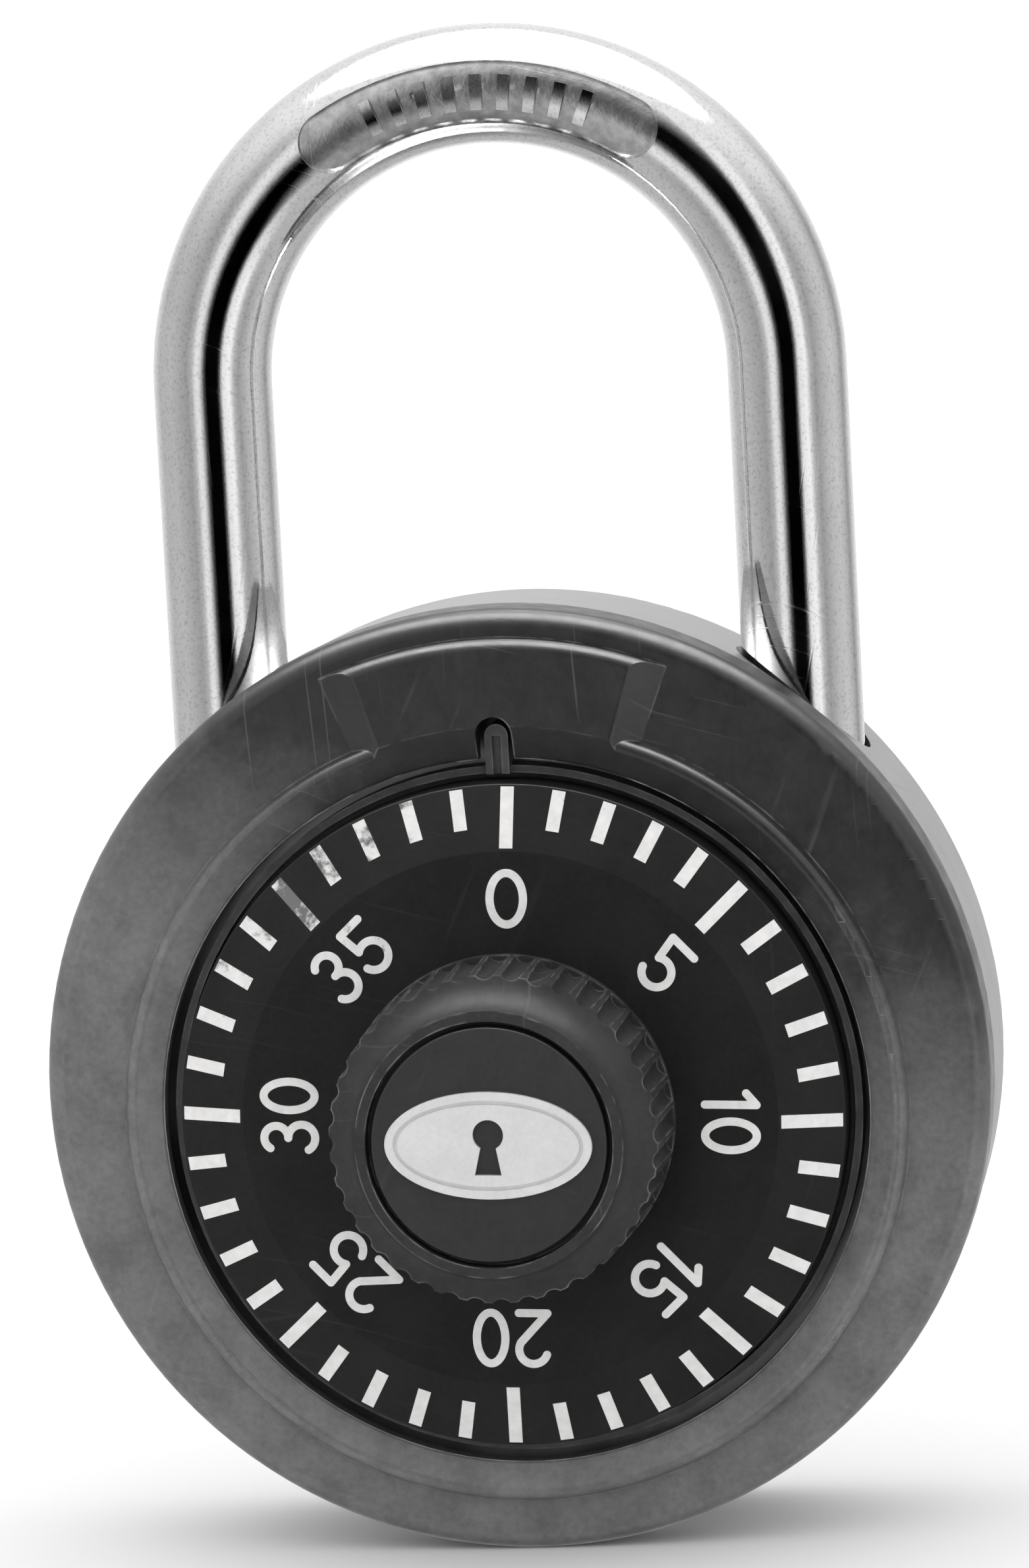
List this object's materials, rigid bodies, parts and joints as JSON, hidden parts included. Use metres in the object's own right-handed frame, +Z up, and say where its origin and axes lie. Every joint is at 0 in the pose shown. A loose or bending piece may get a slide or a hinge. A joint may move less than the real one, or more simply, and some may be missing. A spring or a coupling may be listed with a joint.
{
  "type": "combination padlock",
  "caption": "Round combination padlock with a fluted dial knob, a numbered dial in a raised bezel, a bright steel shackle, and its wheel pack and latch inside.",
  "frame": {"origin": "centre of the case's flat back face", "axes": "+Z up towards the shackle's crown, -Y out of the dial towards the user, +X to the user's right"},
  "size_m": [0.0502, 0.0253, 0.0806],
  "materials": {
    "satin_steel": "satin rolled stainless steel",
    "bezel_black": "charcoal black, semi-matte, slightly mottled",
    "zinc_plate": "zinc-plated sheet",
    "index_grey": "plain satin sheet",
    "bright_steel": "turned",
    "brass": "stamped",
    "spring_steel": "tempered, oiled",
    "cast_zinc": "as die-cast",
    "dial_black": "semi-gloss",
    "knob_black": "semi-gloss moulded",
    "cap_black": "semi-gloss",
    "white_fill": "matte paint fill",
    "emblem_grey": "satin",
    "shackle_chrome": "polished plating"
  },
  "bodies": {
    "case": {"case_shell": "satin_steel", "bezel_cover": "bezel_black", "front_plate": "zinc_plate", "index_ring": "index_grey", "wheel_post": "bright_steel", "rear_spacer": "brass", "front_spacer": "brass", "wheel_pack_spring": "spring_steel", "dial_friction_washer": "spring_steel", "shackle_guide": "cast_zinc", "guide_rivets": "bright_steel", "lever_pivot_pin": "bright_steel", "pivot_clip": "spring_steel", "lever_spring": "spring_steel"},
    "dial": {"dial_plate": "dial_black", "dial_ticks": "white_fill", "dial_numerals": "white_fill", "dial_knob": "knob_black", "knob_cap": "cap_black", "cap_emblem": "emblem_grey", "dial_spindle": "bright_steel", "cam_washer": "bright_steel", "drive_cam": "brass"},
    "middle_wheel": {"middle_wheel": "brass"},
    "front_wheel": {"front_wheel": "brass"},
    "shackle": {"shackle": "shackle_chrome", "heel_stop_ring": "spring_steel"},
    "latch_lever": {"latch_lever": "zinc_plate", "bolt_spring": "spring_steel"},
    "latch_bolt": {"latch_bolt": "bright_steel", "bolt_collar": "bright_steel"}
  },
  "joints": [
    {"name": "dial_spin", "type": "hinge", "parent": "case", "child": "dial", "pos_m": [0, -0.0173, -0.0015], "axis": [0, -1, 0], "range_deg": [-1080, 1080]},
    {"name": "middle_wheel_spin", "type": "hinge", "parent": "dial", "child": "middle_wheel", "pos_m": [0, -0.0069, -0.0015], "axis": [0, -1, 0], "range_deg": [-330, 0]},
    {"name": "front_wheel_spin", "type": "hinge", "parent": "middle_wheel", "child": "front_wheel", "pos_m": [0, -0.0091, -0.0015], "axis": [0, -1, 0], "range_deg": [-330, 0]},
    {"name": "shackle_lift", "type": "slide", "parent": "case", "child": "shackle", "axis": [0, 0, 1], "range_m": [0, 0.013]},
    {"name": "lever_swing", "type": "hinge", "parent": "case", "child": "latch_lever", "pos_m": [0.0121, -0.0028, -0.00987], "axis": [0, -1, 0], "range_deg": [0, 18], "stiffness_Nm_per_rad": 0.01, "springref_deg": -28.65, "deforming": ["lever_spring"]},
    {"name": "bolt_slide", "type": "slide", "parent": "latch_lever", "child": "latch_bolt", "axis": [-1, 0, 0], "range_m": [0, 0.0015], "stiffness_N_per_m": 250, "springref_m": -0.002, "deforming": ["bolt_spring"]}
  ],
  "couplings": [
    {"joint": "lever_swing", "follows": "shackle_lift", "rad_per_m": 24.166}
  ]
}
